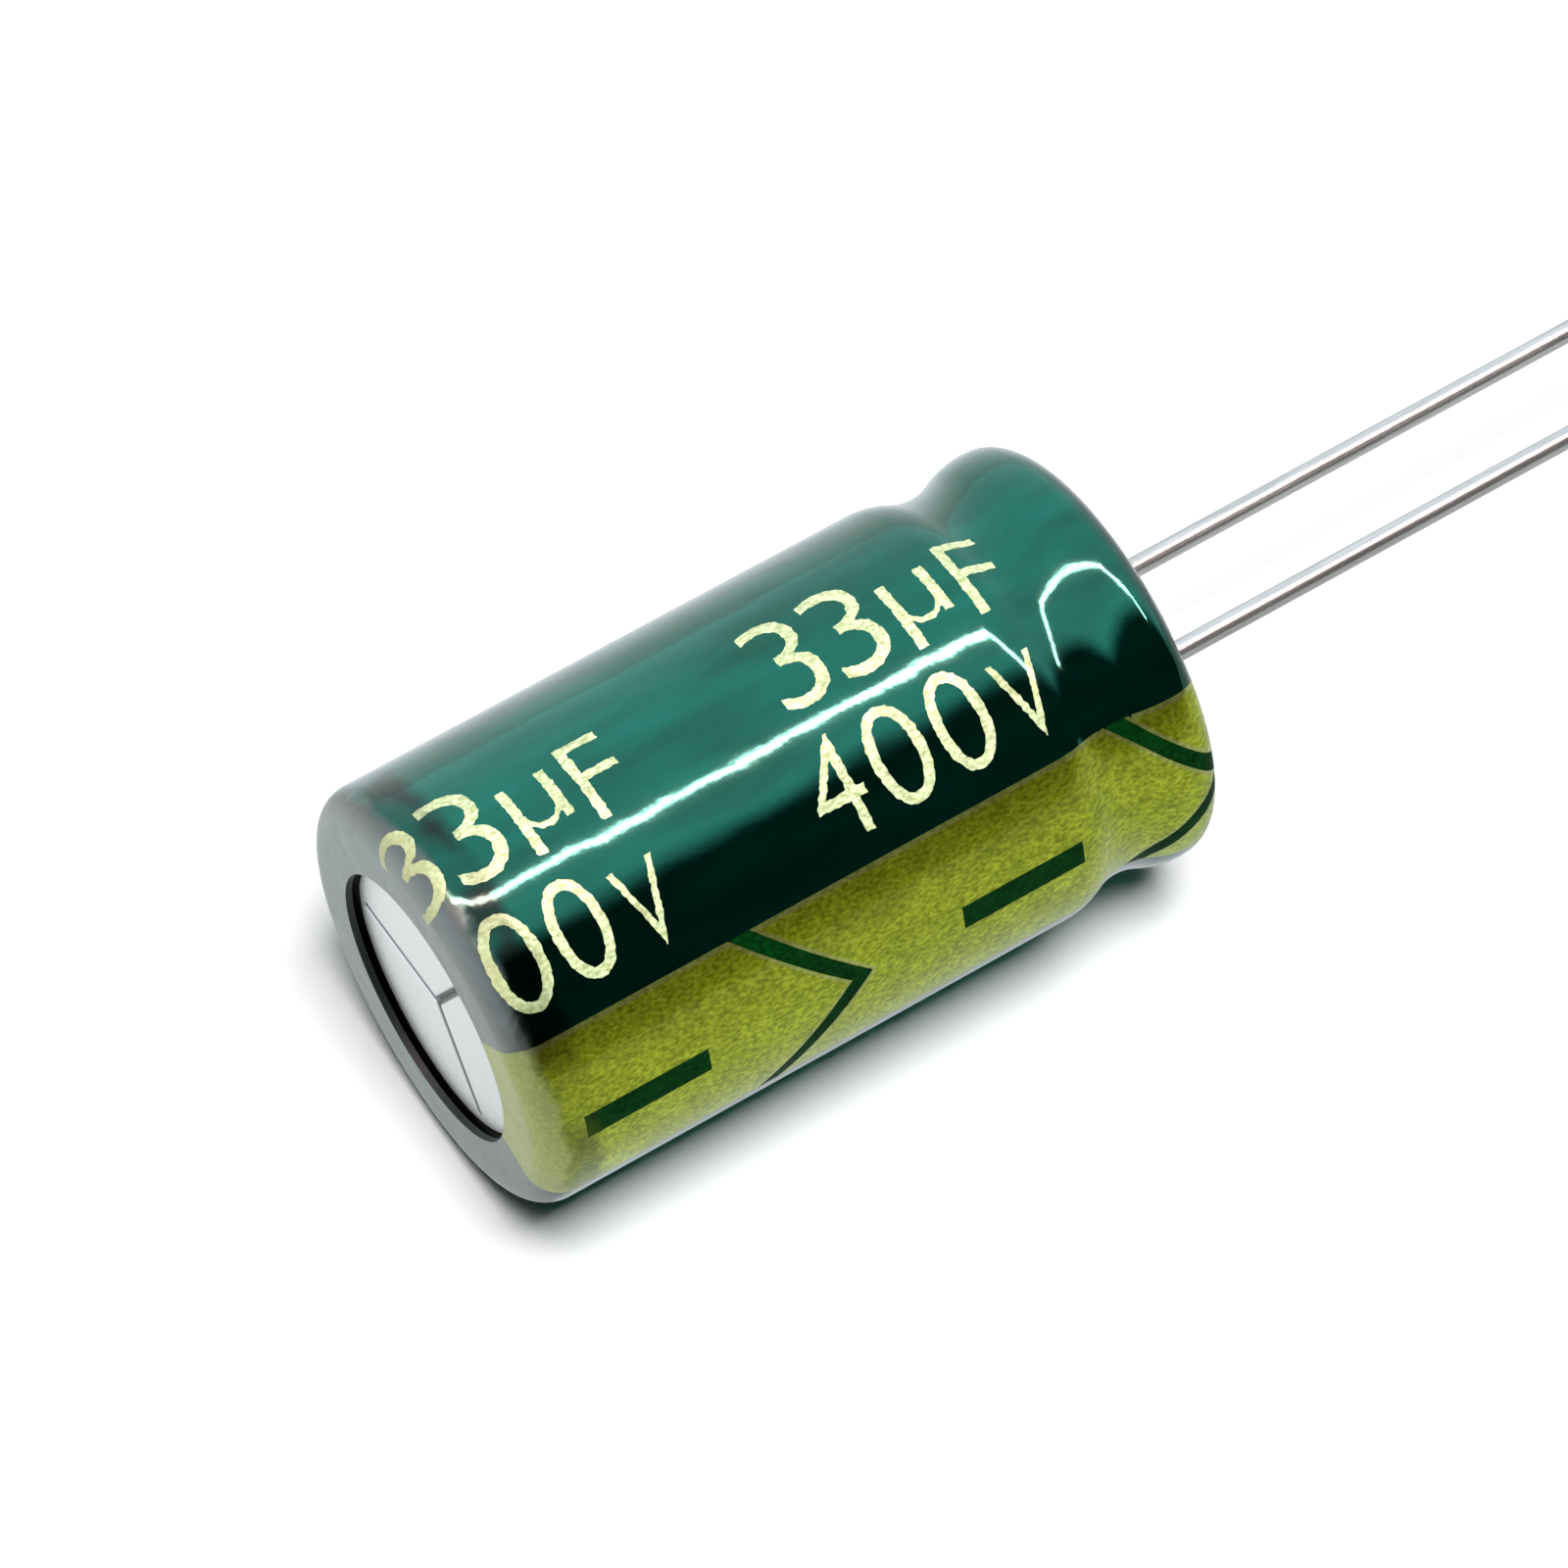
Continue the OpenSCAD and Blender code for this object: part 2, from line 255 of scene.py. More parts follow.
def film_point(along):
    """Radius and height of the film's face, where along is its height, or past the start of the
    shoulder the distance along the film."""
    shoulder_z = BODY_H - SHOULDER_CURVE
    if along > shoulder_z:
        turn = (along - shoulder_z) / SHOULDER_CURVE
        if turn > math.pi / 2:
            past = (turn - math.pi / 2) * SHOULDER_CURVE
            return BODY_R - SHOULDER_CURVE - past, BODY_H
        reach = BODY_R - SHOULDER_CURVE + SHOULDER_CURVE * math.cos(turn)
        return reach, shoulder_z + SHOULDER_CURVE * math.sin(turn)
    if along < FOOT_CURVE:
        drop = FOOT_CURVE - along
        return BODY_R - FOOT_CURVE + math.sqrt(FOOT_CURVE**2 - drop**2), along
    away = abs(along - DIP_Z)
    if away >= DIP_HALF:
        return BODY_R, along
    radii = (DIP_HALF**2 + DIP_DEPTH**2) / (2 * DIP_DEPTH)
    turn = math.asin(DIP_HALF / radii)
    hollow = radii / 2 - FILM_WALL / 2
    swell = radii / 2 + FILM_WALL / 2
    if away < hollow * math.sin(turn):
        return BODY_R - DIP_DEPTH + hollow - math.sqrt(hollow**2 - away**2), along
    return BODY_R - swell + math.sqrt(swell**2 - (DIP_HALF - away) ** 2), along


def on_film(azimuth, along, lift):
    """Place in metres on the film's face, lifted off it along its normal."""
    step = 0.01
    low = Vector(film_point(along - step))
    high = Vector(film_point(along + step))
    slope = (high - low).normalized()
    reach, height = Vector(film_point(along)) + Vector((slope.y, -slope.x)) * lift
    return (direction(azimuth) * reach + Vector((0, 0, height))) * MM


def film_line():
    """Outer line of the film from its lower lip to its upper lip, as radius and height."""
    foot_steps = 10
    dip_steps = 40
    shoulder_steps = 14
    plain_steps = 36
    line = [(FOOT_HOLE, 0.0)]
    for i in range(foot_steps):
        turn = math.pi / 2 * i / foot_steps
        line.append(film_point(FOOT_CURVE * (1 - math.cos(turn))))
    dip_low = DIP_Z - DIP_HALF
    dip_high = DIP_Z + DIP_HALF
    line += [film_point(dip_low + (dip_high - dip_low) * i / dip_steps) for i in range(dip_steps)]
    shoulder_z = BODY_H - SHOULDER_CURVE
    line += [film_point(dip_high + (shoulder_z - dip_high) * i / plain_steps) for i in range(plain_steps)]
    quarter = SHOULDER_CURVE * math.pi / 2
    line += [film_point(shoulder_z + quarter * i / shoulder_steps) for i in range(shoulder_steps + 1)]
    ring_steps = 4
    ring = BODY_R - SHOULDER_CURVE - VENT_HOLE
    line += [(BODY_R - SHOULDER_CURVE - ring * (i + 1) / ring_steps, BODY_H) for i in range(ring_steps)]
    return line


def stripe_place(point):
    """Where a point lies in front of the stripe: across it and up it in millimetres, and how far
    round it is from the stripe's middle in degrees."""
    across = point.dot(direction(STRIPE_AZIMUTH + 90)) / MM
    ahead = point.dot(direction(STRIPE_AZIMUTH)) / MM
    return across, point.z / MM, math.degrees(math.atan2(across, ahead))


def stripe_zone(point):
    """0 off the print, 1 on a gold field and 2 on a field's pale outline."""
    across, up, turn = stripe_place(point)
    edge = (STRIPE_DEG / 2 - abs(turn)) * math.radians(1) * BODY_R
    if edge < 0:
        return 0
    for tip in ARROW_TIPS:
        below = (tip + abs(across) - up) * math.sqrt(0.5)
        above = (up - tip - ARROW_GAP - abs(across)) * math.sqrt(0.5)
        if below < 0 and above < 0:
            return 0
        edge = min(edge, max(below, above))
    for middle in BAR_MIDDLES:
        outside = max(abs(across) - BAR_WIDTH / 2, abs(up - middle) - BAR_LENGTH / 2)
        if outside < 0:
            return 0
    return 2 if edge < OUTLINE else 1


def cut(piece, point, normal, near):
    """In edit mode, cuts the faces near a plane along it. Point is in millimetres."""
    if select_faces(piece, near):
        bpy.ops.mesh.bisect(plane_co=Vector(point) * MM, plane_no=normal, threshold=CUT_EXACT)


def cut_stripe(piece):
    """Cuts the film's mesh along every edge of the printed marks and of their outlines."""
    side = direction(STRIPE_AZIMUTH + 90)
    up = Vector((0, 0, 1))

    def in_sector(place):
        return abs(stripe_place(place)[2]) < STRIPE_DEG / 2

    outline_deg = math.degrees(OUTLINE / BODY_R)
    for sign in (-1, 1):
        border = direction(STRIPE_AZIMUTH + sign * (STRIPE_DEG / 2 - outline_deg) + 90)
        cut(piece, (0, 0, 0), border,
            lambda place: in_sector(place) and stripe_place(place)[2] * sign > 0)
        for tip in ARROW_TIPS:
            for rise in (-OUTLINE * math.sqrt(2), 0, ARROW_GAP, ARROW_GAP + OUTLINE * math.sqrt(2)):
                cut(piece, (0, 0, tip + rise), (up - side * sign).normalized(),
                    lambda place: in_sector(place) and stripe_place(place)[0] * sign > 0
                    and abs(stripe_place(place)[1] - tip - rise - abs(stripe_place(place)[0]))
                    < CUT_REACH * 2)
        for middle in BAR_MIDDLES:
            cut(piece, side * sign * BAR_WIDTH / 2, side,
                lambda place: in_sector(place)
                and abs(stripe_place(place)[0] - sign * BAR_WIDTH / 2) < CUT_REACH
                and abs(stripe_place(place)[1] - middle) < BAR_LENGTH / 2 + CUT_REACH)
            cut(piece, (0, 0, middle + sign * BAR_LENGTH / 2), up,
                lambda place: in_sector(place)
                and abs(stripe_place(place)[0]) < BAR_WIDTH / 2 + CUT_REACH
                and abs(stripe_place(place)[1] - middle - sign * BAR_LENGTH / 2) < CUT_REACH)


def make_film():
    """The shrunk film as one revolved shell, and the stripe's ink as a thin layer cut from its face."""
    border = direction(STRIPE_AZIMUTH - STRIPE_DEG / 2)
    line = [border * reach + Vector((0, 0, height)) for reach, height in film_line()]
    film = draw_line("sleeve_film", line)
    bpy.ops.mesh.select_all(action="SELECT")
    for angle, steps in ((STRIPE_DEG, STRIPE_STEPS), (360 - STRIPE_DEG, REST_STEPS)):
        bpy.ops.mesh.spin(steps=steps, angle=math.radians(angle), center=(0, 0, 0), axis=(0, 0, 1))
    bpy.ops.mesh.select_all(action="SELECT")
    bpy.ops.mesh.remove_doubles(threshold=MERGE_WITHIN * MM)
    bpy.ops.mesh.normals_make_consistent(inside=False)
    cut_stripe(film)
    select_faces(film, lambda place: stripe_zone(place) > 0)
    bpy.ops.mesh.duplicate()
    bpy.ops.mesh.separate(type="SELECTED")
    bpy.ops.object.mode_set(mode="OBJECT")
    ink = [o for o in bpy.context.selected_objects if o != film][0]
    ink.name = "polarity_ink"
    ink.data.name = "polarity_ink"
    make_active(ink)
    bpy.ops.object.mode_set(mode="EDIT")
    bpy.ops.mesh.select_all(action="SELECT")
    bpy.ops.transform.shrink_fatten(value=INK_PROUD * MM)
    bpy.ops.object.mode_set(mode="OBJECT")
    return film, ink


def thicken(piece, wall, rim=0):
    """Gives a face layer its wall, inward, and smooths it between its sharp edges. Its rim can take a
    later material."""
    finish_with(piece, "SOLIDIFY", thickness=wall * MM, offset=-1.0, material_offset_rim=rim)
    make_active(piece)
    bpy.ops.object.shade_smooth_by_angle(angle=math.radians(FILM_SMOOTH_DEG))


def make_glyph(name, letter, azimuths, alongs):
    """One printed letter that fills its place on the film: azimuths are those of its foot and its
    head, alongs those of its left and its right side. It gets its thickness, inward, while flat."""
    piece = start(name, bpy.ops.object.text_add)
    piece.data.body = letter
    piece.data.resolution_u = LETTER_STEPS
    piece.data.offset = PRINT_THIN
    make_active(piece)
    bpy.ops.object.convert(target="MESH")
    piece = bpy.context.object
    piece.name = name
    corners = [Vector(c) for c in piece.bound_box]
    low = Vector([min(c[i] for c in corners) for i in range(3)])
    high = Vector([max(c[i] for c in corners) for i in range(3)])
    height = math.radians(azimuths[1] - azimuths[0]) * BODY_R
    width = abs(alongs[1] - alongs[0])
    bpy.ops.object.mode_set(mode="EDIT")
    bpy.ops.mesh.select_all(action="SELECT")
    bpy.ops.transform.translate(value=-low)
    bpy.ops.transform.resize(
        value=(width / (high.x - low.x), height / (high.y - low.y), 1), center_override=(0, 0, 0))
    for axis, length in ((0, width), (1, height)):
        normal = Vector((1 - axis, axis, 0))
        for i in range(1, math.ceil(length / PRINT_GRAIN)):
            bpy.ops.mesh.select_all(action="SELECT")
            bpy.ops.mesh.bisect(plane_co=normal * i * PRINT_GRAIN, plane_no=normal, threshold=CUT_EXACT)
    bpy.ops.object.mode_set(mode="OBJECT")
    finish_with(piece, "SOLIDIFY", thickness=INK_WALL / 2, offset=-1.0)
    for vertex in piece.data.vertices:
        right, up, lift = vertex.co
        spot = Vector((right + alongs[0], up + azimuths[0], 0))
        wander = sum((noise.noise_vector(spot / size) * reach for size, reach in PRINT_WANDER), Vector())
        azimuth = azimuths[0] + math.degrees((up + wander.y) / BODY_R)
        vertex.co = on_film(azimuth, alongs[0] - right - wander.x, INK_PROUD - abs(lift))
    return piece


def make_print():
    """The two lines of numbers, printed twice along the film, as one thin layer of ink."""
    noise.seed_set(PRINT_SEED)
    letters = []
    for copy in (0, 1):
        for index, (letter, foot, head, left, right) in enumerate(PRINTED_LETTERS):
            shift = copy * PRINT_STEP
            if left + shift > LAST_ALONG:
                continue
            letters.append(make_glyph(
                f"letter_{copy}_{index}", letter, (foot, head), (left + shift, right + shift)))
    bpy.ops.object.select_all(action="DESELECT")
    for letter in letters:
        letter.select_set(True)
    bpy.context.view_layer.objects.active = letters[0]
    bpy.ops.object.join()
    numbers = bpy.context.object
    numbers.name = "printed_numbers"
    numbers.data.name = "printed_numbers"
    bpy.ops.object.shade_smooth_by_angle(angle=math.radians(LETTER_SMOOTH_DEG))
    return numbers


def make_wire(name, side, length):
    """A round tinned wire from its sheared end up to its weld bead, at one side of the axis."""
    ring = [
        (LEAD_D / 2, LEAD_CHAMFER - length),
        (LEAD_D / 2, BEAD_LOW),
        (BEAD_D / 2, BEAD_TOP),
    ]
    middle = Vector((0, side * LEAD_PITCH / 2, 0))
    start_r = LEAD_D / 2 - LEAD_CHAMFER
    wire = start(name, bpy.ops.mesh.primitive_circle_add, vertices=LEAD_SIDES, radius=start_r * MM,
                 fill_type="NGON", location=(middle - Vector((0, 0, length))) * MM)
    bpy.ops.object.transform_apply(location=True)
    bpy.ops.object.mode_set(mode="EDIT")
    bpy.ops.mesh.select_all(action="SELECT")
    reach, height = start_r, -length
    for next_reach, next_height in ring:
        bpy.ops.mesh.extrude_region_move(
            TRANSFORM_OT_translate={"value": Vector((0, 0, next_height - height)) * MM})
        growth = next_reach / reach
        bpy.ops.transform.resize(
            value=(growth, growth, 1), center_override=(middle + Vector((0, 0, next_height))) * MM)
        reach, height = next_reach, next_height
    bpy.ops.mesh.select_all(action="SELECT")
    bpy.ops.mesh.normals_make_consistent(inside=False)
    bpy.ops.object.mode_set(mode="OBJECT")
    bpy.ops.object.shade_smooth_by_angle(angle=math.radians(LEAD_SMOOTH_DEG))
    return wire


def linear(code):
    """A linear colour with alpha from an sRGB hex code."""
    parts = [int(code[i:i + 2], 16) / 255 for i in (1, 3, 5)]
    return [p / 12.92 if p <= 0.04045 else ((p + 0.055) / 1.055) ** 2.4 for p in parts] + [1.0]


def add(tree, kind, inputs=None, stops=None, **properties):
    """Adds a node with its properties, its inputs as values or links, and a ramp's stops."""
    node = tree.nodes.new("ShaderNode" + kind)
    for name, value in properties.items():
        setattr(node, name, value)
    for key, value in (inputs or {}).items():
        if isinstance(value, bpy.types.NodeSocket):
            tree.links.new(value, node.inputs[key])
        else:
            node.inputs[key].default_value = value
    if stops:
        ramp = node.color_ramp
        while len(ramp.elements) < len(stops):
            ramp.elements.new(1.0)
        for element, (position, colour) in zip(ramp.elements, stops):
            element.position = position
            element.color = linear(colour) if isinstance(colour, str) else [colour] * 3 + [1.0]
    return node


def per(size):
    """Scale of a pattern whose grain is size millimetres."""
    return 1 / (size * MM)


def new_material(name):
    """A material with its Principled shader: (material, tree, shader, object coordinates)."""
    material = bpy.data.materials.new(name)
    material.use_nodes = True
    tree = material.node_tree
    tree.nodes.clear()
    shader = add(tree, "BsdfPrincipled")
    add(tree, "OutputMaterial", {"Surface": shader.outputs["BSDF"]})
    place = add(tree, "TexCoord").outputs["Object"]
    return material, tree, shader, place


def set_shader(shader, **values):
    """Sets inputs of a shader that are the same all over, with spaces written as underscores."""
    for name, value in values.items():
        shader.inputs[name.replace("_", " ")].default_value = value


def film_bump(tree, place):
    """The shrunk film's slow ripple and fine orange peel, shared by the film and its inks, and the
    puckers in its gathered crown."""
    ripple = add(tree, "TexNoise", {"Vector": place, "Scale": per(RIPPLE[0]), "Detail": 1.0})
    peel = add(tree, "TexNoise", {"Vector": place, "Scale": per(PEEL[0]), "Detail": 2.0})
    first = add(tree, "Bump", {
        "Height": ripple.outputs["Fac"], "Distance": RIPPLE[1] * MM, "Strength": 1.0})
    second = add(tree, "Bump", {
        "Height": peel.outputs["Fac"], "Distance": PEEL[1] * MM, "Strength": 1.0,
        "Normal": first.outputs["Normal"]})
    crown = crown_shares(tree, place)[1]
    pucker = add(tree, "TexNoise", {"Vector": place, "Scale": per(PUCKER[0]), "Detail": 2.0})
    third = add(tree, "Bump", {
        "Height": pucker.outputs["Fac"], "Distance": PUCKER[1] * MM, "Strength": crown,
        "Normal": second.outputs["Normal"]})
    return third.outputs["Normal"]


def film_material():
    """Heat-shrunk PVC film: clear green over the bright can, so it mirrors softly in teal where the
    room is bright and goes nearly black elsewhere, under a hard gloss. Painted shade darkens it at
    its foot and in a band just under the shoulder, and its gathered crown is whitened and duller,
    most of all at the lip round the vent."""
    material, tree, shader, place = new_material("heat_shrunk_pvc_film")
    set_shader(shader, Metallic=0.96, Coat_Roughness=0.09, Coat_IOR=1.36)
    drawn = add(tree, "Mapping", {"Vector": place, "Scale": (1.0, 1.0, 0.25)})
    cloud = add(tree, "TexNoise", {"Vector": drawn.outputs["Vector"], "Scale": per(0.9), "Detail": 4.0})
    tint = add(
        tree, "ValToRGB", {"Fac": cloud.outputs["Fac"]}, stops=((0.3, "#005c48"), (0.7, "#027863")))
    shoulder_shade, crown = crown_shares(tree, place)
    height = add(tree, "SeparateXYZ", {"Vector": place}).outputs["Z"]
    # Painted shade: darker toward the foot's curve, and in the band just under the shoulder
    foot = add(tree, "MapRange", {
        "Value": height, "From Min": FOOT_SHADE_Z[0] * MM, "From Max": FOOT_SHADE_Z[1] * MM,
        "To Min": 0.95, "To Max": 0.0})
    painted_shade_share = add(tree, "Math", {0: shoulder_shade, 1: foot.outputs["Result"]}, operation="MAXIMUM")
    shaded_tint = add(tree, "MixRGB", {
        "Fac": painted_shade_share.outputs[0], "Color1": tint.outputs["Color"], "Color2": linear("#02251a")})
    lip = add(tree, "MapRange", {
        "Value": height, "From Min": LIP_Z[0] * MM, "From Max": LIP_Z[1] * MM})
    whitened = add(tree, "MixRGB", {
        "Fac": lip.outputs["Result"], "Color1": linear("#6c706b"), "Color2": linear("#8c918d")})
    gathered = add(tree, "MixRGB", {
        "Fac": crown, "Color1": shaded_tint.outputs["Color"], "Color2": whitened.outputs["Color"]})
    rough = add(tree, "MapRange", {"Value": crown, "To Min": 0.06, "To Max": 0.4})
    gloss = add(tree, "MapRange", {"Value": crown, "To Min": 1.0, "To Max": 0.35})
    tree.links.new(gloss.outputs["Result"], shader.inputs["Coat Weight"])
    tree.links.new(gathered.outputs["Color"], shader.inputs["Base Color"])
    tree.links.new(rough.outputs["Result"], shader.inputs["Roughness"])
    normal = film_bump(tree, place)
    tree.links.new(normal, shader.inputs["Normal"])
    tree.links.new(normal, shader.inputs["Coat Normal"])
    return material


def crown_shares(tree, place):
    """How far a place is in the band of painted shade just under the shoulder, and how far it is on
    the film's whitened crown. Both run from 0 to 1 and have a cloudy border."""
    patch = add(tree, "TexNoise", {"Vector": place, "Scale": per(0.8), "Detail": 3.0})
    height = add(tree, "SeparateXYZ", {"Vector": place}).outputs["Z"]
    shifted = add(
        tree, "Math", {0: patch.outputs["Fac"], 1: CROWN_CLOUD * MM, 2: height}, operation="MULTIPLY_ADD")
    rise = add(tree, "MapRange", {
        "Value": shifted.outputs[0], "From Min": CROWN_Z[0] * MM, "From Max": CROWN_Z[1] * MM})
    # The band of painted shade under the shoulder, darker in slow patches
    band = add(tree, "ValToRGB", {"Fac": rise.outputs["Result"]},
               stops=((0.08, 0.0), (0.26, 0.95), (0.57, 0.95), (0.67, 0.0)))
    slow = add(tree, "TexNoise", {"Vector": place, "Scale": per(2.4), "Detail": 2.0})
    deep = add(tree, "MapRange", {
        "Value": slow.outputs["Fac"], "From Min": 0.38, "From Max": 0.52, "To Min": 0.25})
    shoulder_shade = add(
        tree, "Math", {0: band.outputs["Color"], 1: deep.outputs["Result"]}, operation="MULTIPLY")
    crown = add(tree, "ValToRGB", {"Fac": rise.outputs["Result"]}, stops=((0.53, 0.0), (0.67, 1.0)))
    return shoulder_shade.outputs[0], crown.outputs["Color"]


def ink_material(name, dark, bright, metallic, gloss):
    """Gravure ink, with as much metal in it and as much gloss over it as is given. Its bronze flakes
    are a few hundredths of a millimetre wide, and are drawn coarser so that they show. Painted
    shade darkens it in the band under the crown, and it is pale on the crown."""
    material, tree, shader, place = new_material(name)
    set_shader(
        shader, Metallic=metallic, Roughness=0.34, Specular_IOR_Level=gloss / 2,
        Coat_Roughness=0.07, Coat_IOR=1.36)
    stretched = add(tree, "Mapping", {"Vector": place, "Scale": (1.0, 1.0, 0.6)})
    grain = add(
        tree, "TexNoise", {"Vector": stretched.outputs["Vector"], "Scale": per(0.085), "Detail": 6.0})
    tint = add(tree, "ValToRGB", {"Fac": grain.outputs["Fac"]}, stops=((0.35, dark), (0.63, bright)))
    mottle = add(tree, "TexNoise", {"Vector": place, "Scale": per(0.7), "Detail": 4.0})
    worn = add(tree, "ValToRGB", {"Fac": mottle.outputs["Fac"]}, stops=((0.35, 0.8), (0.6, 1.0)))
    printed = add(
        tree, "MixRGB", {"Fac": 1.0, "Color1": tint.outputs["Color"], "Color2": worn.outputs["Color"]},
        blend_type="MULTIPLY")
    shoulder_shade, crown = crown_shares(tree, place)
    # Painted shade: the band under the crown is darkened toward olive
    ink_shoulder_shade = add(tree, "Math", {0: shoulder_shade, 1: 0.6}, operation="MULTIPLY")
    shaded_tint = add(tree, "MixRGB", {
        "Fac": ink_shoulder_shade.outputs[0], "Color1": printed.outputs["Color"], "Color2": linear("#3c4410")})
    sheen = add(tree, "MapRange", {"Value": crown, "To Min": gloss, "To Max": gloss * 0.3})
    tree.links.new(sheen.outputs["Result"], shader.inputs["Coat Weight"])
    pale = add(tree, "Math", {0: crown, 1: 0.75}, operation="MULTIPLY")
    gathered = add(tree, "MixRGB", {
        "Fac": pale.outputs[0], "Color1": shaded_tint.outputs["Color"], "Color2": linear("#b4b684")})
    tree.links.new(gathered.outputs["Color"], shader.inputs["Base Color"])
    normal = film_bump(tree, place)
    tree.links.new(normal, shader.inputs["Normal"])
    tree.links.new(normal, shader.inputs["Coat Normal"])
    return material


def metal_material(name, dark, bright, roughness, grain, grain_scale, depth, metallic=1.0):
    """Bare metal with a fine worked grain: grain_scale stretches it along the way it was worked. Its
    grain is finer than any render shows, so it is drawn a little coarser."""
    material, tree, shader, place = new_material(name)
    set_shader(shader, Metallic=metallic)
    stretched = add(tree, "Mapping", {"Vector": place, "Scale": grain_scale})
    lines = add(
        tree, "TexNoise", {"Vector": stretched.outputs["Vector"], "Scale": per(grain), "Detail": 4.0})
    tint = add(tree, "ValToRGB", {"Fac": lines.outputs["Fac"]}, stops=((0.3, dark), (0.7, bright)))
    rough = add(tree, "MapRange", {
        "Value": lines.outputs["Fac"], "To Min": roughness - 0.06, "To Max": roughness + 0.06})
    bump = add(tree, "Bump", {"Height": lines.outputs["Fac"], "Distance": depth * MM, "Strength": 1.0})
    tree.links.new(tint.outputs["Color"], shader.inputs["Base Color"])
    tree.links.new(rough.outputs["Result"], shader.inputs["Roughness"])
    tree.links.new(bump.outputs["Normal"], shader.inputs["Normal"])
    return material


def can_material():
    """Deep-drawn aluminium, bright and satin, with tool marks, and with painted shade, nearly black,
    in the step round the vent panel and in its score."""
    material = metal_material(
        "deep_drawn_aluminium", "#f4f4f0", "#fdfdf9", 0.5, 0.08, (1.0, 1.0, 1.0), 0.001)
    tree = material.node_tree
    shader = [n for n in tree.nodes if n.type == "BSDF_PRINCIPLED"][0]
    bare = shader.inputs["Base Color"].links[0].from_socket
    place = add(tree, "TexCoord").outputs["Object"]
    parts = add(tree, "SeparateXYZ", {"Vector": place}).outputs
    flat = add(tree, "CombineXYZ", {"X": parts["X"], "Y": parts["Y"]})
    reach = add(tree, "VectorMath", {0: flat.outputs[0]}, operation="LENGTH")
    # Painted shade: nearly black past the panel's edge, in the step, and three quarters dark below the
    # panel, in its score
    in_step = add(tree, "MapRange", {
        "Value": reach.outputs["Value"], "From Min": SHADE_STEP_R[0] * MM, "From Max": SHADE_STEP_R[1] * MM})
    down = add(tree, "MapRange", {
        "Value": parts["Z"], "From Min": SHADE_SCORE_Z[0] * MM, "From Max": SHADE_SCORE_Z[1] * MM,
        "To Min": 0.75, "To Max": 0.0})
    painted_shade = add(
        tree, "Math", {0: in_step.outputs["Result"], 1: down.outputs["Result"]}, operation="MAXIMUM")
    painted_shade_tint = add(tree, "MixRGB", {
        "Fac": painted_shade.outputs[0], "Color1": bare, "Color2": linear("#0c0d0d")})
    tree.links.new(painted_shade_tint.outputs["Color"], shader.inputs["Base Color"])
    return material


def matt_material(name, dark, bright, roughness, grain, depth):
    """A matt non-metal with a cloudy grain."""
    material, tree, shader, place = new_material(name)
    set_shader(shader, Roughness=roughness)
    cloud = add(tree, "TexNoise", {"Vector": place, "Scale": per(grain), "Detail": 5.0})
    tint = add(tree, "ValToRGB", {"Fac": cloud.outputs["Fac"]}, stops=((0.3, dark), (0.7, bright)))
    bump = add(tree, "Bump", {"Height": cloud.outputs["Fac"], "Distance": depth * MM, "Strength": 1.0})
    tree.links.new(tint.outputs["Color"], shader.inputs["Base Color"])
    tree.links.new(bump.outputs["Normal"], shader.inputs["Normal"])
    return material


def dress(piece, *materials):
    """Gives a piece its materials in order."""
    piece.data.materials.clear()
    for material in materials:
        piece.data.materials.append(material)


def make_table():
    """The white table: it shows shadows to the camera, glows in what is mirrored, lets lamps through
    from behind and can't be seen from its back. The glow lights nothing that is matt."""
    normal = direction(TABLE_AZIMUTH)
    table = start("table", bpy.ops.mesh.primitive_plane_add, size=TABLE_SIZE * MM)
    table.matrix_world = (
        Matrix.Translation(-normal * BODY_R * MM) @ normal.to_track_quat("Z", "Y").to_matrix().to_4x4())
    material = bpy.data.materials.new("white_table")
    material.use_nodes = True
    tree = material.node_tree
    tree.nodes.clear()
    ray = add(tree, "LightPath").outputs
    back = add(tree, "NewGeometry").outputs["Backfacing"]
    matt = add(tree, "BsdfDiffuse", {"Color": TABLE_PAINT})
    spot = add(tree, "NewGeometry").outputs["Position"]
    # Painted shadow: the glow is dimmer on the near side of the object, and a painted highlight makes it
    # brighter toward the vent
    beyond = add(tree, "VectorMath", {0: spot, 1: direction(ROOM_AZIMUTH)}, operation="DOT_PRODUCT")
    level = add(tree, "MapRange", {
        "Value": beyond.outputs["Value"], "From Min": -TABLE_FADE * MM, "From Max": TABLE_FADE * MM,
        "To Min": TABLE_MIRRORED[0], "To Max": TABLE_MIRRORED[1]})
    height = add(tree, "SeparateXYZ", {"Vector": spot}).outputs["Z"]
    past = add(tree, "MapRange", {
        "Value": height, "From Min": TABLE_BRIGHTER_Z[0] * MM, "From Max": TABLE_BRIGHTER_Z[1] * MM,
        "To Min": 1.0, "To Max": TABLE_BRIGHTER})
    lit = add(tree, "Math", {0: level.outputs["Result"], 1: past.outputs["Result"]}, operation="MULTIPLY")
    glow = add(tree, "Emission", {"Color": TABLE_COLOUR, "Strength": lit.outputs[0]})
    direct = add(tree, "Math", {0: ray["Diffuse Depth"], 1: 0.5}, operation="LESS_THAN")
    mirrored = add(tree, "Math", {0: ray["Is Glossy Ray"], 1: direct.outputs[0]}, operation="MULTIPLY")
    front = add(tree, "MixShader", {0: mirrored.outputs[0], 1: matt.outputs[0], 2: glow.outputs[0]})
    open_to = add(tree, "Math", {0: back, 1: ray["Is Shadow Ray"]}, operation="MAXIMUM")
    clear = add(tree, "BsdfTransparent")
    whole = add(tree, "MixShader", {0: open_to.outputs[0], 1: front.outputs[0], 2: clear.outputs[0]})
    add(tree, "OutputMaterial", {"Surface": whole.outputs[0]})
    table.data.materials.append(material)


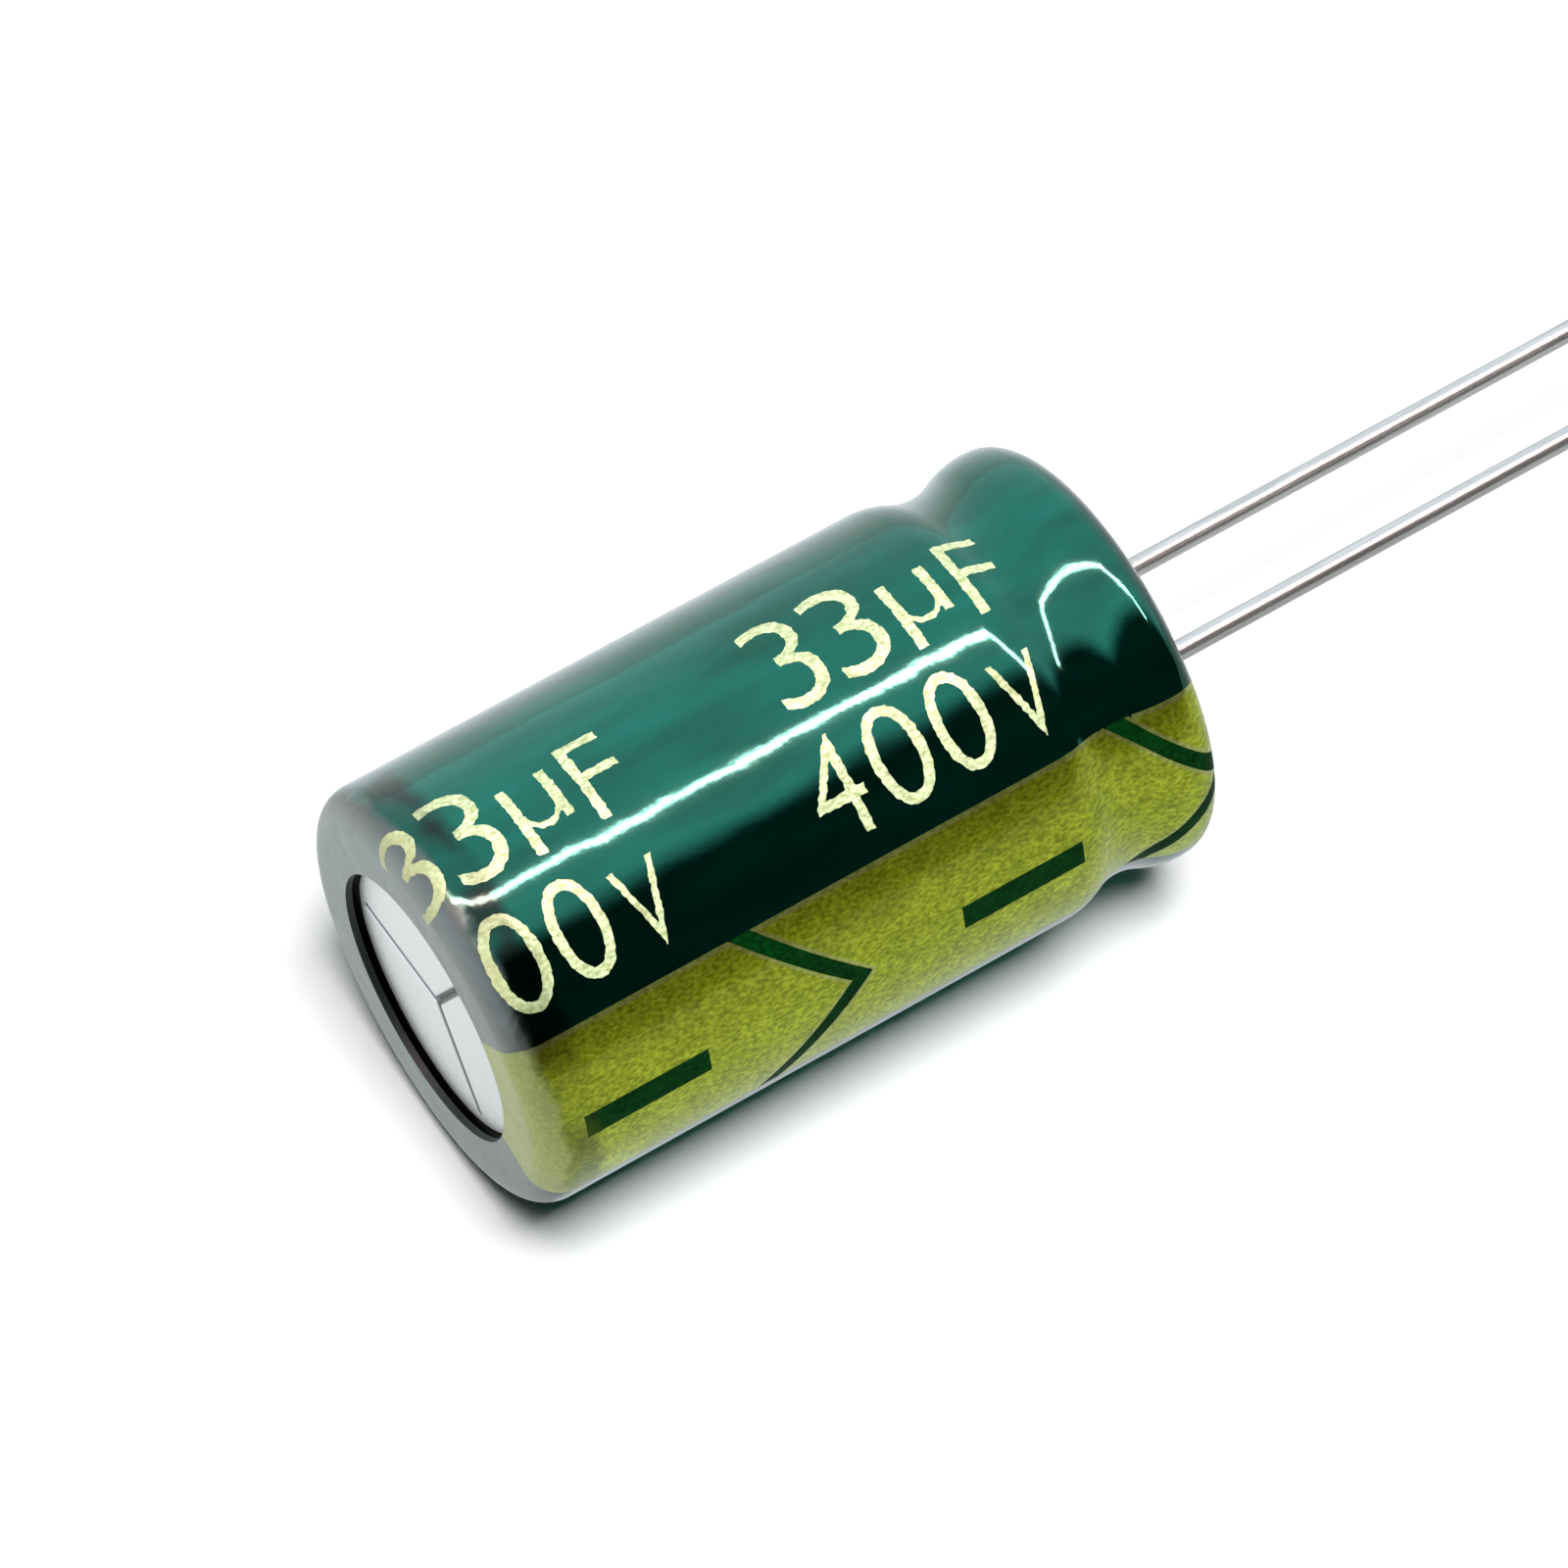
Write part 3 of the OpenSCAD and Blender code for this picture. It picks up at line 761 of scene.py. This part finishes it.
def make_room():
    """The room's light: bright beyond the object and dark behind the camera, and white to the camera."""
    world = bpy.data.worlds.new("studio")
    bpy.context.scene.world = world
    world.use_nodes = True
    tree = world.node_tree
    tree.nodes.clear()
    look = add(tree, "TexCoord").outputs["Generated"]
    middle = direction(ROOM_AZIMUTH, ROOM_RISE)
    toward = add(tree, "VectorMath", {0: look, 1: middle}, operation="DOT_PRODUCT")
    level = add(
        tree, "MapRange",
        {"Value": toward.outputs["Value"], "From Min": ROOM_EDGE[0], "From Max": ROOM_EDGE[1]},
        interpolation_type="SMOOTHSTEP")
    ray = add(tree, "LightPath").outputs
    glossy = add(tree, "Math", {0: ray["Is Glossy Ray"], 1: level.outputs["Result"]}, operation="MULTIPLY")
    room = add(tree, "Background", {"Color": ROOM_COLOUR, "Strength": glossy.outputs[0]})
    white = add(tree, "Background", {"Color": (1.0, 1.0, 1.0, 1.0), "Strength": 1.0})
    both = add(tree, "MixShader", {0: ray["Is Camera Ray"], 1: room.outputs[0], 2: white.outputs[0]})
    add(tree, "OutputWorld", {"Surface": both.outputs[0]})


def make_lamp(name, ends, width, power, mirrored, colour):
    """A soft lamp at LAMP_DISTANCE from the object, which it faces. Its long side runs between two
    directions, each an azimuth and an elevation, and its width is in millimetres. It is either only
    mirrored in the object or only lights what is matt."""
    first, last = (direction(*end) for end in ends)
    toward = (first + last).normalized()
    along = (last - first).normalized()
    data = bpy.data.lights.new(name, "AREA")
    data.shape = "RECTANGLE"
    data.size = width * MM
    data.size_y = 2 * math.tan(first.angle(last) / 2) * LAMP_DISTANCE * MM
    data.energy = power
    data.color = colour
    lamp = bpy.data.objects.new(name, data)
    bpy.context.scene.collection.objects.link(lamp)
    middle = Vector((0, 0, BODY_H / 2))
    turn = Matrix((along.cross(toward), along, toward)).transposed()
    lamp.matrix_world = Matrix.Translation((middle + toward * LAMP_DISTANCE) * MM) @ turn.to_4x4()
    lamp.visible_glossy = mirrored
    lamp.visible_diffuse = not mirrored


def make_camera():
    """The photograph's camera."""
    data = bpy.data.cameras.new("camera")
    data.sensor_width = CAMERA_SENSOR
    data.lens = CAMERA_LENS
    data.clip_start = CAMERA_NEAREST * MM
    camera = bpy.data.objects.new("camera", data)
    bpy.context.scene.collection.objects.link(camera)
    back = direction(CAMERA_AZIMUTH, CAMERA_ELEVATION)
    camera.rotation_mode = "QUATERNION"
    roll = Quaternion((0, 0, 1), math.radians(CAMERA_ROLL))
    camera.rotation_quaternion = (-back).to_track_quat("-Z", "Y") @ roll
    camera.location = (Vector(CAMERA_AIM) + back * CAMERA_DISTANCE) * MM
    bpy.context.scene.camera = camera


make_camera()
make_table()
make_room()
for lamp_values in LAMPS:
    make_lamp(*lamp_values)

# Clear green film over a bright can: teal where the room is bright, and nearly black elsewhere
film_finish = film_material()
# Opaque ink of the marks between the gold fields: a dull dark green
mark_green = ink_material("dark_green_ink", "#02200a", "#05340e", 0.0, 0.03)
# Gold bronze ink under a gloss: a grainy metal between gold and green
field_gold = ink_material("gold_bronze_ink", "#a0b011", "#e4f43d", 0.93, 0.8)
# The same ink along a field's edge, where less of it lies: paler
outline_gold = ink_material("pale_edge_of_ink", "#bac555", "#e0ec83", 0.93, 0.8)
# The film seen on its cut edge, where light is lost inside it: dark, and made nearly black as painted
# shade of the gaps at its holes
shaded_cut_film = matt_material("shaded_cut_edge_of_film", "#020807", "#04110e", 0.5, 0.1, 0.001)
# Pale yellow ink of the numbers: bright, and hardly metallic
number_ink = ink_material("pale_yellow_ink", "#b5c086", "#effcca", 0.15, 0.6)

film, ink = make_film()
dress(film, film_finish, mark_green, shaded_cut_film)
for face in film.data.polygons:
    face.material_index = 1 if abs(stripe_place(face.center)[2]) < STRIPE_DEG / 2 else 0
thicken(film, FILM_WALL, rim=2)
thicken(ink, INK_WALL)
dress(ink, field_gold, outline_gold)
for face in ink.data.polygons:
    face.material_index = 1 if stripe_zone(face.center) == 2 else 0
numbers = make_print()
dress(numbers, number_ink)

wires = {
    "anode_lead": make_wire("anode_wire", 1, -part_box("anode_lead")[0].z / MM),
    "cathode_lead": make_wire("cathode_wire", -1, -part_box("cathode_lead")[0].z / MM),
}
# Tin that was wiped on drawn wire: bright, with lines along it, and a little dulled by air
tinned = metal_material(
    "tinned_wire", "#c4c4c0", "#dcdcd8", 0.24, 0.09, (1.0, 1.0, 0.05), 0.0006, 0.88)

for node, wire in wires.items():
    dress(wire, tinned)
    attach(wire, "root")
    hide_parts(node)

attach(film, "root")
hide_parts("sleeve")
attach(ink, "root")
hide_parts("polarity_stripe")
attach(numbers, "root")

finishes = {
    # Drawn aluminium: satin and light grey, with painted black shade in its corners
    "can": can_material(),
    # Aluminium wire pressed flat: a soft sheen with lines along the tab
    "anode_tab": metal_material(
        "pressed_aluminium", "#b9bbbe", "#cfd1d4", 0.3, 0.1, (1.0, 1.0, 0.1), 0.001),
    # Foil etched deep: a dull dark grey. The pits are far too fine to show, and are drawn as grain
    "anode_foil": metal_material(
        "etched_anode_foil", "#777a7d", "#8b8e92", 0.6, 0.05, (1.0, 1.0, 1.0), 0.001),
    # Foil etched lightly: a paler grey
    "cathode_foil": metal_material(
        "etched_cathode_foil", "#a9abad", "#bfc1c4", 0.5, 0.05, (1.0, 1.0, 1.0), 0.001),
    # Moulded rubber: matt black
    "rubber_bung": matt_material("moulded_black_rubber", "#141415", "#1d1d1f", 0.62, 0.12, 0.002),
    # Thin soaked paper: matt and pale brown
    "inner_paper": matt_material("separator_paper", "#bba878", "#d6c697", 0.9, 0.06, 0.002),
    # Film tape: amber and half glossy
    "closing_tape": matt_material("amber_film_tape", "#a8691f", "#c9862f", 0.35, 0.5, 0.001),
}
same_finish = {"cathode_tab": "anode_tab", "outer_paper": "inner_paper"}
for name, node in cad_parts.items():
    finish = finishes.get(same_finish.get(name, name))
    if finish:
        dress(node, finish)

bpy.context.scene.view_settings.view_transform = "Standard"
